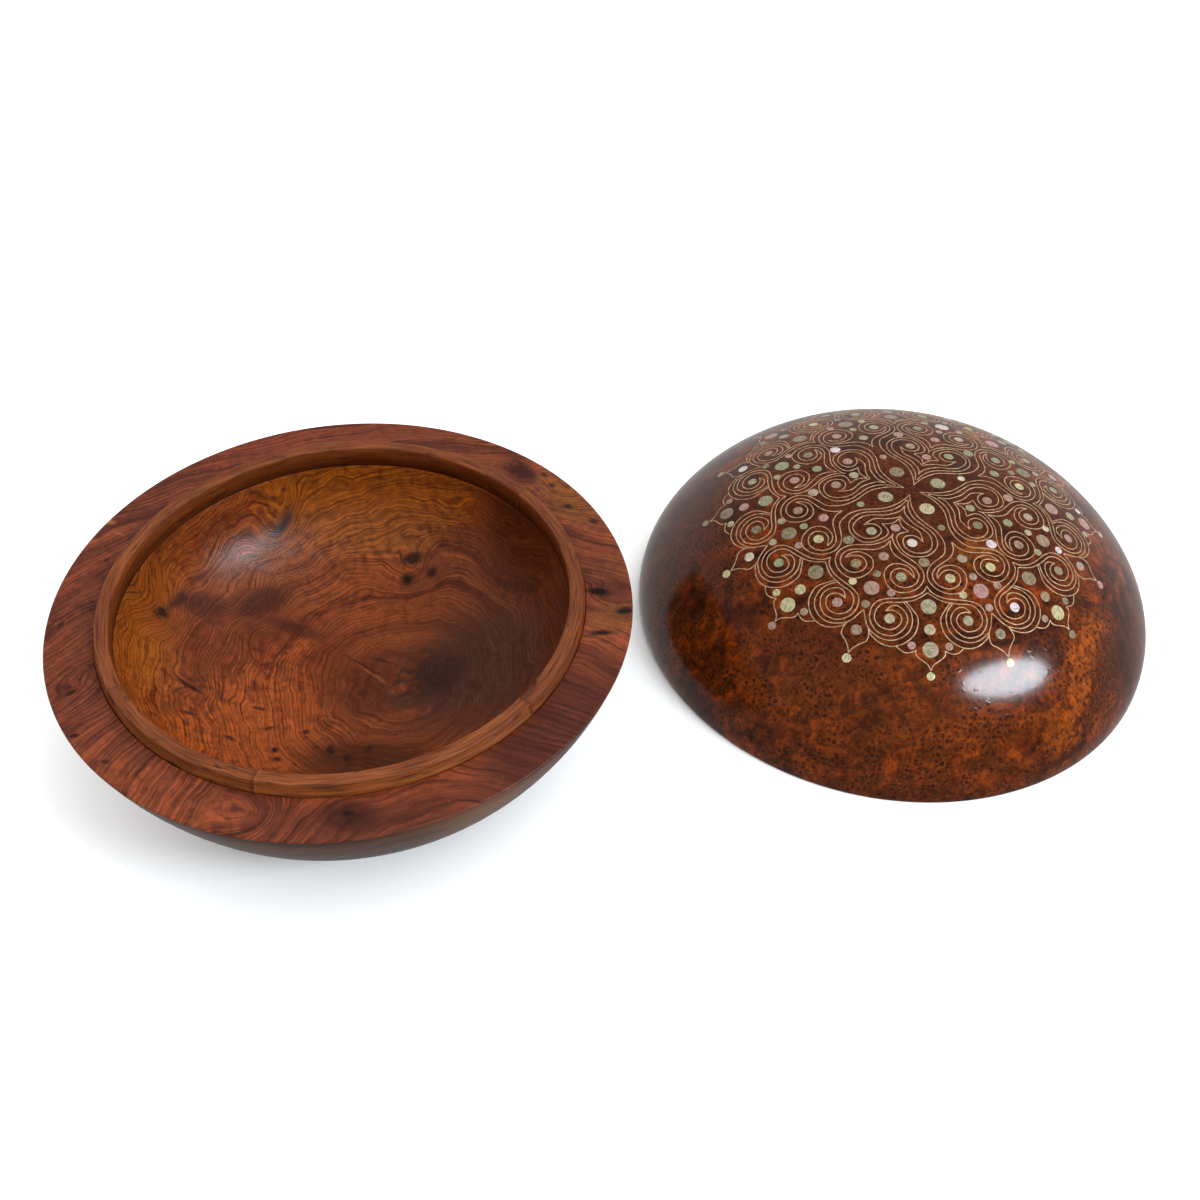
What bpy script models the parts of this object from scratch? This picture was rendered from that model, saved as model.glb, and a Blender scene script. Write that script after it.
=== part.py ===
"""Round burl-wood bowl with a locating lip and a domed, inlaid lid that stands beside it. Metres, +Z up.

The bowl stands on its foot at the origin. The lid lies on its rim on the same surface, dome up.
"""

import math

import bmesh
import bpy
from mathutils import Matrix, Vector

# Driving sizes of the two turned blocks
RIM_RADIUS = 0.140
BOWL_HEIGHT = 0.077
LID_HEIGHT = 0.084
FOOT_RADIUS = 0.063
HOLLOW_RADIUS = 0.1095
FLOOR_THICKNESS = 0.010
CROWN_THICKNESS = 0.010
EDGE_ROUND = 0.0010

# The lip that locates the lid
LIP_WIDTH = 0.0075
LIP_TAPER = 0.0012
LIP_STAND = 0.0065
LIP_SEAT = 0.0055
LIP_ROUND = 0.0010
LIP_JOINT_DEGREES = (-145.7, -100.6, -36.0, 42.6, 54.8)

# Clearances
PIECE_GAP = 0.0003
LID_FIT_GAP = 0.0008
LID_TOP_GAP = 0.0010

# Where the lid lies beside the bowl: the room between the two rims, and the way from bowl to lid
LID_ROOM = 0.018
LID_BEARING_DEGREES = 16.3

# Curvature of the turned walls: powers and pulls of the profile formulas below
DOME_CROWN_POWER = 2.22
DOME_SIDE_POWER = 2.34
DOME_WAIST_PULL = -0.041
DOME_SHOULDER_PULL = -0.027
WALL_OUT_POWER = 0.86
WALL_DOWN_POWER = 1.70
HOLLOW_CROWN_POWER = 2.3
HOLLOW_SIDE_POWER = 2.6

# Shell discs let into the lid
LARGE_DISC = 0.0080
MEDIUM_DISC = 0.0052
SMALL_DISC = 0.0042
DISC_THICKNESS = 0.0012
ROSETTE_RADIUS = 0.0157
EYE_RADIUS = 0.0393
EYE_SPREAD_DEGREES = 15.7
INLAY_TURN_DEGREES = -0.7
LYRE_DISC_RADIUS = 0.0313
SMALL_AXIS_DISC_RADIUS = 0.0708
LARGE_AXIS_DISC_RADIUS = 0.0757
OGEE_DISC_RADIUS = 0.0956
DROP_RADIUS = 0.1063
QUARTER = 90.0
EIGHTH = 45.0
HALF_EIGHTH = 22.5

# How finely the round shapes are cut
TURNED_STEPS = 72
WALL_POINTS = 11
LIP_STEP_DEGREES = 5.0
DISC_SIDES = 12
DISC_TURN_DEGREES = 8.0

LIP_OUTER_RADIUS = HOLLOW_RADIUS + LIP_WIDTH
REBATE_RADIUS = LIP_OUTER_RADIUS + PIECE_GAP
REBATE_FLOOR = BOWL_HEIGHT - LIP_SEAT
LIP_BOTTOM = REBATE_FLOOR + PIECE_GAP
LIP_TOP = BOWL_HEIGHT + LIP_STAND
LID_REBATE_RADIUS = LIP_OUTER_RADIUS + LID_FIT_GAP
LID_REBATE_DEPTH = LIP_STAND + LID_TOP_GAP
POCKET_DEPTH = DISC_THICKNESS + PIECE_GAP
LID_APART = 2 * RIM_RADIUS + LID_ROOM
LID_BEARING = math.radians(LID_BEARING_DEGREES)
LID_CENTRE = Vector((LID_APART * math.cos(LID_BEARING), LID_APART * math.sin(LID_BEARING), 0.0))


def clear_scene():
    for obj in list(bpy.data.objects):
        bpy.data.objects.remove(obj, do_unlink=True)


def material(name, colour, roughness, metallic=0.0):
    made = bpy.data.materials.new(name)
    made.use_nodes = True
    shader = made.node_tree.nodes["Principled BSDF"]
    shader.inputs["Base Color"].default_value = (*colour, 1.0)
    shader.inputs["Roughness"].default_value = roughness
    shader.inputs["Metallic"].default_value = metallic
    made.diffuse_color = (*colour, 1.0)
    return made


def add_object(name, mesh, finish, place=(0.0, 0.0, 0.0)):
    obj = bpy.data.objects.new(name, mesh)
    if finish is not None and not mesh.materials:
        mesh.materials.append(finish)
    obj.location = place
    bpy.context.scene.collection.objects.link(obj)
    return obj


def dome_point(share):
    """Point (radius, height) on the lid's outside: share 0 at the rim, 1 at the crown.

    A quarter superellipse whose radius is pulled in at the waist and at the shoulder.
    """
    turn = share * math.pi / 2
    rise = math.sin(turn) ** (2 / DOME_CROWN_POWER)
    bow = rise * (1 - rise)
    pull = 1 + 4 * DOME_WAIST_PULL * bow + 8 * DOME_SHOULDER_PULL * bow * (2 * rise - 1)
    radius = RIM_RADIUS * max(math.cos(turn), 0.0) ** (2 / DOME_SIDE_POWER) * pull
    return radius, LID_HEIGHT * rise


def wall_point(share):
    """Point (radius, height) on the bowl's outside: share 0 at the flange, 1 at the foot."""
    turn = share * math.pi / 2
    radius = FOOT_RADIUS + (RIM_RADIUS - FOOT_RADIUS) * max(math.cos(turn), 0.0) ** WALL_OUT_POWER
    return radius, BOWL_HEIGHT * (1 - math.sin(turn) ** WALL_DOWN_POWER)


def hollow_point(share, mouth, depth):
    """Point (radius, height) on a hollow: share 0 at its mouth, 1 on the axis, depth along Z."""
    turn = share * math.pi / 2
    radius = HOLLOW_RADIUS * max(math.cos(turn), 0.0) ** (2 / HOLLOW_SIDE_POWER)
    return radius, mouth + depth * math.sin(turn) ** (2 / HOLLOW_CROWN_POWER)


def shares(count):
    """Shares from 0 to 1, both ends included."""
    return [step / (count - 1) for step in range(count)]


def rounded_rim(radius, height, towards):
    """Three points of a small rounding at an outer edge. towards is +1 where the wall goes on upwards."""
    points = []
    for turn in (0.0, 45.0, 90.0):
        out = EDGE_ROUND * (1 - math.sin(math.radians(turn)))
        up = EDGE_ROUND * (1 - math.cos(math.radians(turn)))
        points.append((radius - out, height + towards * up))
    return points


def turned(name, profile, finish, place=(0.0, 0.0, 0.0)):
    """A lathe shape: the profile from axis to axis, its outer side running downwards, screwed once round Z."""
    mesh = bpy.data.meshes.new(name)
    points = [(radius, 0.0, height) for radius, height in profile]
    edges = [(index, index + 1) for index in range(len(points) - 1)]
    mesh.from_pydata(points, edges, [])
    obj = add_object(name, mesh, finish, place)
    screw = obj.modifiers.new("turning", "SCREW")
    screw.axis = "Z"
    screw.angle = math.tau
    screw.steps = TURNED_STEPS
    screw.render_steps = TURNED_STEPS
    screw.use_merge_vertices = True
    screw.merge_threshold = 1e-5
    screw.use_smooth_shade = True
    return obj


def make_bowl(finish):
    hollow_depth = REBATE_FLOOR - FLOOR_THICKNESS
    inside = [hollow_point(share, REBATE_FLOOR, -hollow_depth) for share in shares(WALL_POINTS)]
    outside = [wall_point(share) for share in shares(WALL_POINTS)]
    profile = [(0.0, FLOOR_THICKNESS)]
    profile += inside[-2::-1]
    profile += [(REBATE_RADIUS, REBATE_FLOOR), (REBATE_RADIUS, BOWL_HEIGHT)]
    profile += rounded_rim(RIM_RADIUS, BOWL_HEIGHT, -1)
    profile += outside[1:]
    profile.append((0.0, 0.0))
    return turned("bowl_base", profile, finish)


def make_lid(finish, cutter):
    outside = [dome_point(share) for share in shares(WALL_POINTS)]
    hollow_rise = LID_HEIGHT - CROWN_THICKNESS - LID_REBATE_DEPTH
    inside = [hollow_point(share, LID_REBATE_DEPTH, hollow_rise) for share in shares(WALL_POINTS)]
    profile = [(0.0, LID_HEIGHT)]
    profile += outside[-2:0:-1]
    profile += rounded_rim(RIM_RADIUS, 0.0, +1)[::-1]
    profile += [(LID_REBATE_RADIUS, 0.0), (LID_REBATE_RADIUS, LID_REBATE_DEPTH)]
    profile += inside[:-1]
    profile.append((0.0, LID_HEIGHT - CROWN_THICKNESS))
    lid = turned("lid_dome", profile, finish, LID_CENTRE)
    cut = lid.modifiers.new("inlay_pockets", "BOOLEAN")
    cut.operation = "DIFFERENCE"
    cut.object = cutter
    return lid


def lip_section():
    """The lip's cross-section, anticlockwise from its inner bottom corner: tapered outside, eased top edges."""
    outer_top = LIP_OUTER_RADIUS - LIP_TAPER
    return [
        (HOLLOW_RADIUS, LIP_BOTTOM),
        (LIP_OUTER_RADIUS, LIP_BOTTOM),
        (LIP_OUTER_RADIUS, BOWL_HEIGHT),
        (outer_top, LIP_TOP - LIP_ROUND),
        (outer_top - LIP_ROUND, LIP_TOP),
        (HOLLOW_RADIUS + LIP_ROUND, LIP_TOP),
        (HOLLOW_RADIUS, LIP_TOP - LIP_ROUND),
    ]


def make_lip_segment(name, start, end, finish):
    """One curved stick of the lip between two joints, given in degrees, with half a gap left at each end."""
    half_gap = math.degrees(PIECE_GAP / 2 / HOLLOW_RADIUS)
    low, high = start + half_gap, end - half_gap
    steps = max(2, round((high - low) / LIP_STEP_DEGREES))
    section = lip_section()
    bm = bmesh.new()
    rings = []
    for step in range(steps + 1):
        turn = math.radians(low + (high - low) * step / steps)
        ring = [bm.verts.new((r * math.cos(turn), r * math.sin(turn), z)) for r, z in section]
        rings.append(ring)
    bm.faces.new(rings[0])
    bm.faces.new(rings[-1][::-1])
    for near, far in zip(rings, rings[1:]):
        for index in range(len(section)):
            other = (index + 1) % len(section)
            bm.faces.new((near[index], near[other], far[other], far[index]))
    bmesh.ops.recalc_face_normals(bm, faces=bm.faces)
    mesh = bpy.data.meshes.new(name)
    bm.to_mesh(mesh)
    bm.free()
    mesh.shade_smooth()
    mesh.set_sharp_from_angle(angle=math.radians(30))
    return add_object(name, mesh, finish)


def make_lip(finish):
    ends = LIP_JOINT_DEGREES + (LIP_JOINT_DEGREES[0] + 360.0,)
    for number, (start, end) in enumerate(zip(ends, ends[1:]), 1):
        make_lip_segment(f"lip_segment_{number}", start, end, finish)


def disc_layout():
    """(name, diameter, radius from the lid's axis, bearing in degrees) of every shell disc that is a solid."""
    layout = [("rosette_centre_disc", LARGE_DISC, 0.0, 0.0)]
    for number in range(4):
        lyre = INLAY_TURN_DEGREES - HALF_EIGHTH + QUARTER * number
        petal = lyre - EIGHTH
        label = number + 1
        layout.append((f"rosette_petal_disc_{label}", LARGE_DISC, ROSETTE_RADIUS, petal))
        layout.append((f"lyre_disc_{label}", MEDIUM_DISC, LYRE_DISC_RADIUS, lyre))
        for side, sign in (("a", -1), ("b", 1)):
            bearing = lyre + sign * EYE_SPREAD_DEGREES
            layout.append((f"lyre_eye_disc_{label}{side}", MEDIUM_DISC, EYE_RADIUS, bearing))
    for number in range(8):
        large_axis = INLAY_TURN_DEGREES + EIGHTH * number
        small_axis = large_axis + HALF_EIGHTH
        label = number + 1
        layout.append((f"field_disc_{label}", LARGE_DISC, LARGE_AXIS_DISC_RADIUS, large_axis))
        layout.append((f"between_disc_{label}", LARGE_DISC, SMALL_AXIS_DISC_RADIUS, small_axis))
        layout.append((f"ogee_disc_{label}", LARGE_DISC, OGEE_DISC_RADIUS, large_axis))
        layout.append((f"drop_disc_{label}", SMALL_DISC, DROP_RADIUS, large_axis))
    return layout


def dome_frame(radius, bearing):
    """Matrix that puts +Z along the dome's outward normal at this radius and bearing, on its surface."""
    low, high = 0.0, 1.0
    for _ in range(50):
        middle = (low + high) / 2
        if dome_point(middle)[0] > radius:
            low = middle
        else:
            high = middle
    reach = 1e-4
    r0, z0 = dome_point(max(low - reach, 0.0))
    r1, z1 = dome_point(min(low + reach, 1.0))
    slope = math.atan2(r0 - r1, z1 - z0)
    lean = math.pi / 2 - slope if radius > 0 else 0.0
    height = dome_point(low)[1]
    around = Matrix.Rotation(math.radians(bearing), 4, "Z")
    tipped = Matrix.Translation((radius, 0.0, height)) @ Matrix.Rotation(lean, 4, "Y")
    return around @ tipped @ Matrix.Rotation(math.radians(DISC_TURN_DEGREES), 4, "Z")


def disc_mesh(diameter, height):
    """A short cylinder whose top face is at z = 0."""
    bm = bmesh.new()
    bmesh.ops.create_cone(
        bm,
        cap_ends=True,
        segments=DISC_SIDES,
        radius1=diameter / 2,
        radius2=diameter / 2,
        depth=height,
        matrix=Matrix.Translation((0.0, 0.0, -height / 2)),
    )
    mesh = bpy.data.meshes.new("shell_disc")
    bm.to_mesh(mesh)
    bm.free()
    mesh.shade_smooth()
    mesh.set_sharp_from_angle(angle=math.radians(40))
    return mesh


def make_pocket_cutter(layout):
    """One hidden mesh with a cylinder for each disc's pocket, a gap wider and deeper than the disc."""
    bm = bmesh.new()
    above = DISC_THICKNESS
    for _, diameter, radius, bearing in layout:
        frame = dome_frame(radius, bearing)
        bmesh.ops.create_cone(
            bm,
            cap_ends=True,
            segments=DISC_SIDES,
            radius1=diameter / 2 + PIECE_GAP,
            radius2=diameter / 2 + PIECE_GAP,
            depth=POCKET_DEPTH + above,
            matrix=frame @ Matrix.Translation((0.0, 0.0, (above - POCKET_DEPTH) / 2)),
        )
    mesh = bpy.data.meshes.new("pocket_cutter")
    bm.to_mesh(mesh)
    bm.free()
    cutter = add_object("pocket_cutter", mesh, None, LID_CENTRE)
    cutter.hide_render = True
    cutter.display_type = "WIRE"
    return cutter


def make_discs(layout, finish, holder):
    meshes = {}
    for name, diameter, radius, bearing in layout:
        if diameter not in meshes:
            meshes[diameter] = disc_mesh(diameter, DISC_THICKNESS)
        disc = add_object(name, meshes[diameter], finish)
        disc.parent = holder
        disc.matrix_local = dome_frame(radius, bearing)


def main():
    clear_scene()
    red_burl = material("red_brown_burl", (0.20, 0.055, 0.022), 0.30)
    lid_burl = material("dark_burl", (0.13, 0.042, 0.020), 0.22)
    pale_burl = material("pale_burl", (0.42, 0.17, 0.055), 0.32)
    shell = material("shell", (0.60, 0.52, 0.42), 0.20)
    layout = disc_layout()
    make_bowl(red_burl)
    make_lip(pale_burl)
    make_lid(lid_burl, make_pocket_cutter(layout))
    holder = bpy.data.objects.new("lid_lift_axis", None)
    holder.location = LID_CENTRE
    bpy.context.scene.collection.objects.link(holder)
    make_discs(layout, shell, holder)


main()
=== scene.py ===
"""A turned burl-wood bowl with a seated lip ring and a domed lid inlaid with shell discs and wire scrolls.

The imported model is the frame: it gives the bowl, the lid and their places. This script makes the
surfaces that are seen, as smooth turned bodies, arc-shaped lip segments, shell discs and wires that
lie on the dome, with the finish of each material.
"""

import math

import bpy
import numpy as np
from mathutils import Matrix, Quaternion, Vector


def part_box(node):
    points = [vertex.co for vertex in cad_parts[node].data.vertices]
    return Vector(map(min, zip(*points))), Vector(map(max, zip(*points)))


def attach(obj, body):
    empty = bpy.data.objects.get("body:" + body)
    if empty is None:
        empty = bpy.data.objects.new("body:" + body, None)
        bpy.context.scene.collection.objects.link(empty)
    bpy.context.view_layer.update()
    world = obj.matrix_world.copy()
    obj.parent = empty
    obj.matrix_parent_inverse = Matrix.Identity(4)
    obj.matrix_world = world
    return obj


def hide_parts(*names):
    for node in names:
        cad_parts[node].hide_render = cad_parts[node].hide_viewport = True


bl_info = {
    "name": "Inlaid burl bowl",
    "version": (1, 0, 0),
    "blender": (4, 5, 0),
    "location": "3D View > Sidebar > Burl bowl",
    "description": "Makes a turned burl bowl, its lip ring and its lid with shell and wire inlay",
    "category": "Object",
}

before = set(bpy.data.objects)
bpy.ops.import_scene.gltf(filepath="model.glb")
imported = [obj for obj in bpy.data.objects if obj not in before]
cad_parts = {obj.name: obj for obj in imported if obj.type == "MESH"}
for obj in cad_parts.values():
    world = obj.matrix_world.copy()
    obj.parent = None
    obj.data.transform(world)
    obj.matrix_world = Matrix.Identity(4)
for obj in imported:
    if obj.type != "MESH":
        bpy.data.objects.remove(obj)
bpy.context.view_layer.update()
BOWL_LOW, BOWL_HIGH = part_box("bowl_base")
LID_LOW, LID_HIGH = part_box("lid_dome")
LID_CENTRE = np.array([(LID_LOW.x + LID_HIGH.x) / 2, (LID_LOW.y + LID_HIGH.y) / 2])
SHELL_NODES = sorted(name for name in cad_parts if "_disc" in name)
LIP_NAMES = sorted(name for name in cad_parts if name.startswith("lip_segment_"))
LIP_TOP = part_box(LIP_NAMES[0])[1].z
LIP_SEAT_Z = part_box(LIP_NAMES[0])[0].z
MM = 0.001

# Rows of an outline that lie this close together keep a turned corner crisp.
HAIR = 0.1 * MM

# The inlay is laid out from a drop disc, which the frame gives: its bearing is a whole eighth and a little.
DROP_LOW, DROP_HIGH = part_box("drop_disc_1")
DROP_BEARING = math.degrees(math.atan2((DROP_LOW.y + DROP_HIGH.y) / 2 - LID_CENTRE[1],
                                       (DROP_LOW.x + DROP_HIGH.x) / 2 - LID_CENTRE[0]))
INLAY_TURN = DROP_BEARING - 45 * round(DROP_BEARING / 45)

# The joints between the lip segments, as bearings in degrees, anticlockwise from +X.
LIP_JOINTS = (-145.7, -100.6, -36.0, 42.6, 54.8)

# How dark each segment is, and how far apart along one plank the segments were cut, in metres.
LIP_SHADES = (0.25, 0.0, 0.45, 0.6, 0.15)
LIP_CUT_STEP = 0.7

# The turned profiles: exponents of the dome, the bowl's wall and the two hollows.
DOME_CROWN_POWER = 2.22
DOME_SIDE_POWER = 2.34
DOME_WAIST_PULL = -0.041
DOME_SHOULDER_PULL = -0.027
WALL_OUT_POWER = 0.86
WALL_DOWN_POWER = 1.70
HOLLOW_CROWN_POWER = 2.3
HOLLOW_SIDE_POWER = 2.6

# The inlay repeats about the lid's axis: four lyres, eight outer bands.
LYRE_BEARINGS = (-112.5, -22.5, 67.5, 157.5)
PETAL_BEARINGS = (-67.5, 22.5, 112.5, 202.5)
SMALL_BEARINGS = tuple(22.5 + 45 * n for n in range(8))
BIG_BEARINGS = tuple(45 * n for n in range(8))


# ---------------------------------------------------------------------------------------------
# Settings


class BowlSizes(bpy.types.PropertyGroup):
    """Sizes in metres that the frame's boxes don't give"""

    foot_radius: bpy.props.FloatProperty(
        name="Foot radius", description="Radius of the bowl's flat foot", default=0.063, unit="LENGTH")
    hollow_radius: bpy.props.FloatProperty(
        name="Hollow radius", description="Radius of both hollows at the mouth", default=0.1095,
        unit="LENGTH")
    floor_thickness: bpy.props.FloatProperty(
        name="Floor thickness", description="Wood under the bowl's hollow", default=0.010, unit="LENGTH")
    crown_thickness: bpy.props.FloatProperty(
        name="Crown thickness", description="Wood over the lid's hollow", default=0.010, unit="LENGTH")
    edge_round: bpy.props.FloatProperty(
        name="Edge round", description="Radius worn on the turned edges", default=0.0010, unit="LENGTH")
    lip_width: bpy.props.FloatProperty(
        name="Lip width", description="Width of the lip ring at its seat", default=0.0075, unit="LENGTH")
    lip_taper: bpy.props.FloatProperty(
        name="Lip taper", description="How far the lip's outer side leans in", default=0.0012,
        unit="LENGTH")
    lip_round: bpy.props.FloatProperty(
        name="Lip round", description="Radius on the lip's top edges", default=0.0010, unit="LENGTH")
    piece_gap: bpy.props.FloatProperty(
        name="Glue gap", description="Gap between the lip and its rebate", default=0.0003, unit="LENGTH")
    lid_fit_gap: bpy.props.FloatProperty(
        name="Lid fit gap", description="Play between the lid's rebate and the lip", default=0.0008,
        unit="LENGTH")
    lid_rebate_depth: bpy.props.FloatProperty(
        name="Lid rebate depth", description="Depth of the step that drops over the lip", default=0.0075,
        unit="LENGTH")
    wire_width: bpy.props.FloatProperty(
        name="Wire width", description="Width of the inlaid wire", default=0.00058, unit="LENGTH")
    wire_stand: bpy.props.FloatProperty(
        name="Wire stand", description="How far the wire's crown is proud of the wood", default=0.00009,
        unit="LENGTH")
    disc_stand: bpy.props.FloatProperty(
        name="Disc stand", description="How far a shell disc is proud of the wood", default=0.00008,
        unit="LENGTH")
    inlay_depth: bpy.props.FloatProperty(
        name="Inlay depth", description="How deep discs and wires go into the wood", default=0.0009,
        unit="LENGTH")


class BowlColours(bpy.types.PropertyGroup):
    """Base colours of the woods, the shell and the wire, as sRGB hex"""

    flange_wood: bpy.props.StringProperty(
        name="Flange wood", description="Red-brown wood of the flange", default="#5D2616")
    gold_wood: bpy.props.StringProperty(
        name="Gold wood", description="Golden wood inside the bowl", default="#9B5112")
    heart_wood: bpy.props.StringProperty(
        name="Heart wood", description="Red-brown wood inside the bowl", default="#712E10")
    # The dark heart's colour is partly painted shade: it also darkens the middle right of the hollow, where
    # the right wall's shadow falls.
    dark_heart_and_shade: bpy.props.StringProperty(
        name="Dark wood", description="Grey-brown burl heart", default="#462B22")
    outside_wood: bpy.props.StringProperty(
        name="Outside wood", description="Dark grey-brown wood of the bowl's outside", default="#382118")
    lip_wood: bpy.props.StringProperty(
        name="Lip wood", description="Lighter wood of the lip ring", default="#894719")
    lid_wood: bpy.props.StringProperty(
        name="Lid wood", description="Orange-brown burl of the lid", default="#7F3408")
    lid_flame: bpy.props.StringProperty(
        name="Lid flame", description="Orange flame figure of the lid", default="#94450D")
    lid_dark: bpy.props.StringProperty(
        name="Lid dark", description="Dark brown wood of the lid's crown", default="#371D15")
    shell: bpy.props.StringProperty(
        name="Shell", description="Cream body of the shell discs", default="#A59880")
    wire: bpy.props.StringProperty(
        name="Wire", description="Pale wire metal", default="#C4A17E")


class StageSettings(bpy.types.PropertyGroup):
    """The floor, the lights and the camera"""

    floor_colour: bpy.props.StringProperty(
        name="Floor colour", description="Pale floor", default="#FFFFFF")
    floor_size: bpy.props.FloatProperty(
        name="Floor size", description="Side of the square floor", default=12.0, unit="LENGTH")
    camera_place: bpy.props.FloatVectorProperty(
        name="Camera place", description="Where the camera stands", default=(0.1240, -0.4680, 0.5530),
        subtype="XYZ", unit="LENGTH")
    camera_pitch: bpy.props.FloatProperty(
        name="Camera pitch", description="How far the camera looks down", default=math.radians(45.21),
        unit="ROTATION")
    camera_roll: bpy.props.FloatProperty(
        name="Camera roll", description="How far the camera leans", default=math.radians(1.15),
        unit="ROTATION")
    camera_lens: bpy.props.FloatProperty(
        name="Lens", description="Focal length in millimetres on a 36 mm sensor", default=41.35)
    overhead_light: bpy.props.FloatProperty(
        name="Overhead light", description="Strength of the even light from above", default=3.8)
    key_light: bpy.props.FloatProperty(
        name="Key light", description="Strength of the soft light from the back right", default=0.60)
    window_light: bpy.props.FloatProperty(
        name="Window light", description="Strength of the window", default=17.0, unit="POWER")
    room_light: bpy.props.FloatProperty(
        name="Room light", description="Brightness of the dim room", default=0.09)
    wall_light: bpy.props.FloatProperty(
        name="Wall light", description="Brightness of the pale wall low at the back", default=0.52)


# ---------------------------------------------------------------------------------------------
# Meshes


def rotate(points, degrees):
    """Plan points turned about the origin, anticlockwise."""
    angle = math.radians(degrees)
    cosine, sine = math.cos(angle), math.sin(angle)
    x, y = points[..., 0], points[..., 1]
    return np.stack([cosine * x - sine * y, sine * x + cosine * y], -1)


def enclosed_volume(points, triangles):
    """Signed volume: positive when the faces point outwards."""
    a, b, c = points[triangles[:, 0]], points[triangles[:, 1]], points[triangles[:, 2]]
    return float(np.einsum("ij,ij->i", a, np.cross(b, c)).sum() / 6)


def make_piece(name, points, quads, triangles, materials, material_index=None, uv=None):
    """A smooth-shaded mesh object at the origin from whole arrays, with its faces turned outwards."""
    halves = np.concatenate([quads[:, [0, 1, 2]], quads[:, [0, 2, 3]], triangles])
    if enclosed_volume(points, halves) < 0:
        quads, triangles = quads[:, ::-1], triangles[:, ::-1]
    mesh = bpy.data.meshes.new(name)
    mesh.from_pydata(points, [], quads.tolist() + triangles.tolist())
    for material in materials:
        mesh.materials.append(material)
    if material_index is not None:
        mesh.polygons.foreach_set("material_index", material_index)
    if uv is not None:
        corners = np.concatenate([quads.ravel(), triangles.ravel()])
        layer = mesh.uv_layers.new(name="UVMap")
        layer.data.foreach_set("uv", uv[corners].astype(np.float32).ravel())
    mesh.shade_smooth()
    mesh.update()
    piece = bpy.data.objects.new(name, mesh)
    bpy.context.scene.collection.objects.link(piece)
    return piece


def grid_quads(rows, columns, closed_rows=False, closed_columns=False):
    """The quads of a grid of rows times columns points, numbered row by row."""
    row_count = rows if closed_rows else rows - 1
    column_count = columns if closed_columns else columns - 1
    row, column = np.meshgrid(np.arange(row_count), np.arange(column_count), indexing="ij")
    row, column = row.ravel(), column.ravel()
    next_row, next_column = (row + 1) % rows, (column + 1) % columns
    return np.stack([
        row * columns + column, row * columns + next_column,
        next_row * columns + next_column, next_row * columns + column], 1)


def turned_body(name, outline, centre, steps, materials, bands=None):
    """A closed body of revolution: every outline point (radius, height) is carried once round the axis,
    and the two end points, which lie on the axis, are the poles."""
    ring = outline[1:-1]
    angle = np.arange(steps) * 2 * math.pi / steps
    x = centre[0] + ring[:, :1] * np.cos(angle)
    y = centre[1] + ring[:, :1] * np.sin(angle)
    z = np.broadcast_to(ring[:, 1:], x.shape)
    poles = [[centre[0], centre[1], outline[0, 1]], [centre[0], centre[1], outline[-1, 1]]]
    points = np.concatenate([np.stack([x, y, z], -1).reshape(-1, 3), poles])
    quads = grid_quads(len(ring), steps, closed_columns=True)
    column = np.arange(steps)
    following = (column + 1) % steps
    last = (len(ring) - 1) * steps
    first_pole = np.full(steps, len(points) - 2)
    last_pole = np.full(steps, len(points) - 1)
    triangles = np.concatenate([
        np.stack([first_pole, following, column], 1),
        np.stack([last_pole, last + column, last + following], 1)])
    index = None
    if bands is not None:
        row_band = np.asarray(bands[1:-1])
        index = np.concatenate([np.repeat(row_band[1:], steps),
                                np.full(steps, bands[0]), np.full(steps, bands[-1])]).astype(np.int32)
    return make_piece(name, points, quads, triangles, materials, index)


def corner_arc(centre, radius, start, end, count=6):
    """A quarter-round of the outline: points on a circle from one angle to the other, in degrees."""
    angle = np.radians(np.linspace(start, end, count))
    return np.stack([centre[0] + radius * np.cos(angle), centre[1] + radius * np.sin(angle)], 1)


def dome_outline(radius, height, count=140):
    """The lid's outside from crown to rim. With t from 90 to 0 degrees: rise = sin(t) to the power
    2/crown, radius = R cos(t) to the power 2/side, pulled in at the waist and the shoulder."""
    t = np.linspace(math.pi / 2, 0.0, count)
    rise = np.sin(t) ** (2 / DOME_CROWN_POWER)
    hump = rise * (1 - rise)
    pull = 1 + 4 * DOME_WAIST_PULL * hump + 8 * DOME_SHOULDER_PULL * hump * (2 * rise - 1)
    return np.stack([radius * np.cos(t) ** (2 / DOME_SIDE_POWER) * pull, height * rise], 1)


def wall_outline(foot, radius, height, count=90):
    """The bowl's outside from foot to flange: radius = foot + (R - foot) cos(t) to a power,
    height = H (1 - sin(t) to a power)."""
    t = np.linspace(math.pi / 2, 0.0, count)
    r = foot + (radius - foot) * np.cos(t) ** WALL_OUT_POWER
    return np.stack([r, height * (1 - np.sin(t) ** WALL_DOWN_POWER)], 1)


def hollow_outline(radius, mouth, end, count=110):
    """A hollow from its mouth to its deepest point: radius = R cos(t) to the power 2/side, and the
    height goes from the mouth to the end as sin(t) to the power 2/crown."""
    t = np.linspace(0.0, math.pi / 2, count)
    r = radius * np.cos(t) ** (2 / HOLLOW_SIDE_POWER)
    return np.stack([r, mouth + (end - mouth) * np.sin(t) ** (2 / HOLLOW_CROWN_POWER)], 1)


def dome_height(radius):
    """Height of the lid's outside at each plan radius, and the slope of the profile there."""
    rim, height = (LID_HIGH.x - LID_LOW.x) / 2, LID_HIGH.z
    outline = dome_outline(rim, height, 1200)
    z = np.interp(radius, outline[:, 0], outline[:, 1])
    step = 0.0004
    slope = (np.interp(radius + step, outline[:, 0], outline[:, 1])
             - np.interp(np.maximum(radius - step, 0), outline[:, 0], outline[:, 1])) / (
                 radius + step - np.maximum(radius - step, 0))
    return z, slope


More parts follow.
